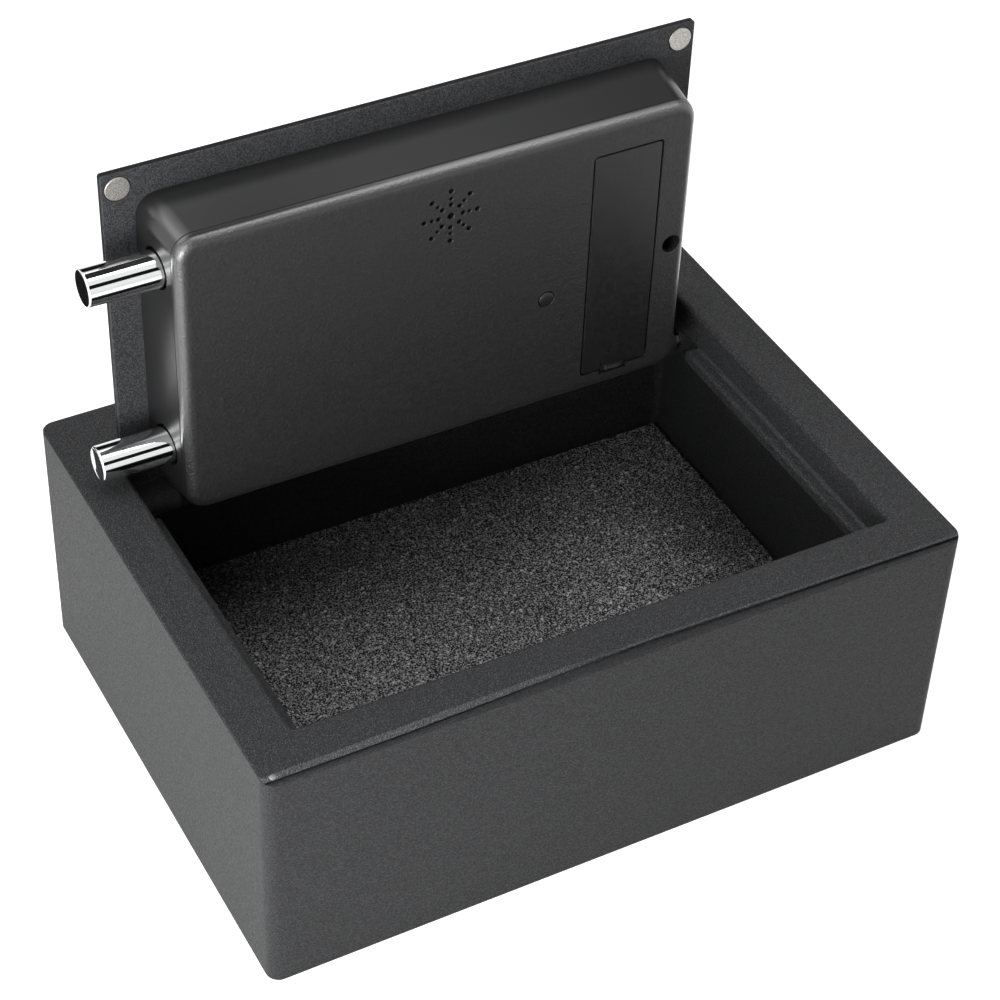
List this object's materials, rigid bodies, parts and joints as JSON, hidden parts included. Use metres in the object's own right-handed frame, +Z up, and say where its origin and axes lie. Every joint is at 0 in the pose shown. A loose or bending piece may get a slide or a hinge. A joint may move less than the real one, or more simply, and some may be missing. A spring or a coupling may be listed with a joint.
{
  "type": "under desk drawer safe",
  "caption": "Low steel box with a top opening, a hinged steel door standing open, a moulded inner cover and side locking bolts that pass under a seat in the opening.",
  "frame": {"origin": "middle of the underside of the box", "axes": "+X along the long side, to the right seen from the front; +Y from the front to the hinge side; +Z up"},
  "size_m": [0.355, 0.262, 0.2892],
  "materials": {
    "black_powder_coat": "fine textured powder coat, satin",
    "glitter_foam": "closed foam with fine glitter flecks",
    "bright_chrome": "polished",
    "nickel": "dull nickel",
    "matte_black_plastic": "fine spark texture",
    "dark_plastic": "matte",
    "plated_steel": "zinc plated",
    "cell_jacket": "plain printed jacket, bare",
    "brass": "satin",
    "board_green": "solder resist",
    "smoked_lens": "smoked",
    "key_rubber": "matte moulded"
  },
  "bodies": {
    "box": {"wall_front": "black_powder_coat", "wall_back": "black_powder_coat", "wall_left": "black_powder_coat", "wall_right": "black_powder_coat", "bend_front_left": "black_powder_coat", "bend_front_right": "black_powder_coat", "bend_back_left": "black_powder_coat", "bend_back_right": "black_powder_coat", "floor_pan": "black_powder_coat", "top_frame": "black_powder_coat", "left_ledge": "black_powder_coat", "right_ledge": "black_powder_coat", "front_ledge": "black_powder_coat", "hinge_bracket_left": "black_powder_coat", "hinge_bracket_right": "black_powder_coat", "foam_mat": "glitter_foam", "hinge_pin_left": "bright_chrome", "hinge_pin_right": "bright_chrome"},
    "door": {"door_plate": "black_powder_coat", "hinge_barrel_left": "black_powder_coat", "hinge_barrel_right": "black_powder_coat", "magnet_left": "nickel", "magnet_right": "nickel", "door_cover": "matte_black_plastic", "cover_screw": "plated_steel", "battery_tray": "dark_plastic", "battery_1": "cell_jacket", "battery_2": "cell_jacket", "battery_3": "cell_jacket", "battery_4": "cell_jacket", "battery_contact_far": "plated_steel", "battery_contact_near": "plated_steel", "buzzer": "dark_plastic", "circuit_board": "board_green", "bolt_guide_lower": "plated_steel", "bolt_guide_upper": "plated_steel", "gear_motor": "plated_steel", "keypad_housing": "dark_plastic", "status_window": "smoked_lens", "lock_body": "plated_steel"},
    "bolts": {"locking_bolt_lower": "bright_chrome", "locking_bolt_upper": "bright_chrome", "bolt_carrier": "plated_steel"},
    "pinion": {"motor_pinion": "brass"},
    "lid": {"battery_lid": "matte_black_plastic"},
    "button": {"program_button": "matte_black_plastic"},
    "lock": {"lock_core": "brass"},
    "cap": {"lock_cap": "dark_plastic"},
    "key_1_body": {"key_1": "key_rubber"},
    "key_2_body": {"key_2": "key_rubber"},
    "key_3_body": {"key_3": "key_rubber"},
    "key_4_body": {"key_4": "key_rubber"},
    "key_5_body": {"key_5": "key_rubber"},
    "key_6_body": {"key_6": "key_rubber"},
    "key_7_body": {"key_7": "key_rubber"},
    "key_8_body": {"key_8": "key_rubber"},
    "key_9_body": {"key_9": "key_rubber"},
    "key_10_body": {"key_10": "key_rubber"},
    "key_11_body": {"key_11": "key_rubber"},
    "key_12_body": {"key_12": "key_rubber"}
  },
  "joints": [
    {"name": "door_hinge", "type": "hinge", "parent": "box", "child": "door", "pos_m": [0, 0.0824, 0.1037], "axis": [1, 0, 0], "range_deg": [0, 90]},
    {"name": "bolt_slide", "type": "slide", "parent": "door", "child": "bolts", "axis": [1, 0, 0], "range_m": [0, 0.0621]},
    {"name": "pinion_spin", "type": "hinge", "parent": "door", "child": "pinion", "pos_m": [-0.0249, 0.0736, 0.20655], "axis": [0, -1, 0], "range_deg": [0, 593]},
    {"name": "battery_lid_hinge", "type": "hinge", "parent": "door", "child": "lid", "pos_m": [0.09585, 0.0542, 0.2537], "axis": [-1, 0, 0], "range_deg": [0, 25]},
    {"name": "program_button_press", "type": "slide", "parent": "door", "child": "button", "axis": [0, 1, 0], "range_m": [0, 0.0012], "stiffness_N_per_m": 400, "springref_m": -0.0012},
    {"name": "lock_core_turn", "type": "hinge", "parent": "door", "child": "lock", "pos_m": [0, 0.1, 0.1609], "axis": [0, 1, 0], "range_deg": [0, 90]},
    {"name": "lock_cap_pull", "type": "slide", "parent": "door", "child": "cap", "axis": [0, 1, 0], "range_m": [0, 0.006]},
    {"name": "key_1_press", "type": "slide", "parent": "door", "child": "key_1_body", "axis": [0, -1, 0], "range_m": [0, 0.0012], "stiffness_N_per_m": 400, "springref_m": -0.0012},
    {"name": "key_2_press", "type": "slide", "parent": "door", "child": "key_2_body", "axis": [0, -1, 0], "range_m": [0, 0.0012], "stiffness_N_per_m": 400, "springref_m": -0.0012},
    {"name": "key_3_press", "type": "slide", "parent": "door", "child": "key_3_body", "axis": [0, -1, 0], "range_m": [0, 0.0012], "stiffness_N_per_m": 400, "springref_m": -0.0012},
    {"name": "key_4_press", "type": "slide", "parent": "door", "child": "key_4_body", "axis": [0, -1, 0], "range_m": [0, 0.0012], "stiffness_N_per_m": 400, "springref_m": -0.0012},
    {"name": "key_5_press", "type": "slide", "parent": "door", "child": "key_5_body", "axis": [0, -1, 0], "range_m": [0, 0.0012], "stiffness_N_per_m": 400, "springref_m": -0.0012},
    {"name": "key_6_press", "type": "slide", "parent": "door", "child": "key_6_body", "axis": [0, -1, 0], "range_m": [0, 0.0012], "stiffness_N_per_m": 400, "springref_m": -0.0012},
    {"name": "key_7_press", "type": "slide", "parent": "door", "child": "key_7_body", "axis": [0, -1, 0], "range_m": [0, 0.0012], "stiffness_N_per_m": 400, "springref_m": -0.0012},
    {"name": "key_8_press", "type": "slide", "parent": "door", "child": "key_8_body", "axis": [0, -1, 0], "range_m": [0, 0.0012], "stiffness_N_per_m": 400, "springref_m": -0.0012},
    {"name": "key_9_press", "type": "slide", "parent": "door", "child": "key_9_body", "axis": [0, -1, 0], "range_m": [0, 0.0012], "stiffness_N_per_m": 400, "springref_m": -0.0012},
    {"name": "key_10_press", "type": "slide", "parent": "door", "child": "key_10_body", "axis": [0, -1, 0], "range_m": [0, 0.0012], "stiffness_N_per_m": 400, "springref_m": -0.0012},
    {"name": "key_11_press", "type": "slide", "parent": "door", "child": "key_11_body", "axis": [0, -1, 0], "range_m": [0, 0.0012], "stiffness_N_per_m": 400, "springref_m": -0.0012},
    {"name": "key_12_press", "type": "slide", "parent": "door", "child": "key_12_body", "axis": [0, -1, 0], "range_m": [0, 0.0012], "stiffness_N_per_m": 400, "springref_m": -0.0012}
  ],
  "couplings": [
    {"joint": "bolt_slide", "follows": "door_hinge", "m_per_rad": 0.03947},
    {"joint": "pinion_spin", "follows": "door_hinge", "ratio": 6.5784}
  ]
}
